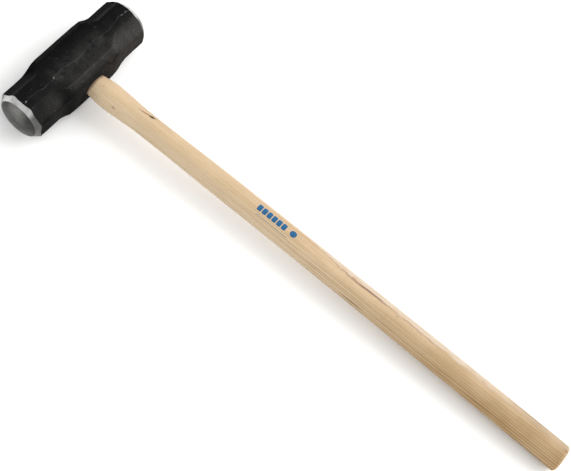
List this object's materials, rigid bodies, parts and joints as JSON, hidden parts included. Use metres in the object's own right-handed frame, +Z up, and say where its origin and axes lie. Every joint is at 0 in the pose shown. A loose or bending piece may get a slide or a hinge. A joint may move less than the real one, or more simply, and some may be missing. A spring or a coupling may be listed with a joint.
{
  "type": "sledge hammer",
  "caption": "Long-handled sledge hammer: black forged head with octagonal polls, bright ground domed faces, and an oval pale wood handle wedged in the eye.",
  "frame": {"origin": "centre of the whole tool's box at its base, on the ground on which the tool lies", "axes": "+Z up out of the upper cheek, +X along the handle from the head to the grip end, +Y along the striking axis to the far face. The tool lies on one cheek's edge and the end of its handle, so it leans 1.36 degrees about Y: its own axes are X and Z turned down by that angle"},
  "size_m": [0.9146, 0.2432, 0.0738],
  "materials": {
    "forged_head": "black-painted drop-forged steel with scale texture, striking faces and their bevels ground bright",
    "handle_wood": "pale ash under clear satin lacquer, straight grain",
    "wedge_wood": "bare sawn hardwood",
    "wedge_steel": "plain mill steel"
  },
  "bodies": {
    "root": {"hammer_head": "forged_head", "handle": "handle_wood", "wood_wedge": "wedge_wood", "steel_wedge_front": "wedge_steel", "steel_wedge_rear": "wedge_steel"}
  },
  "joints": []
}
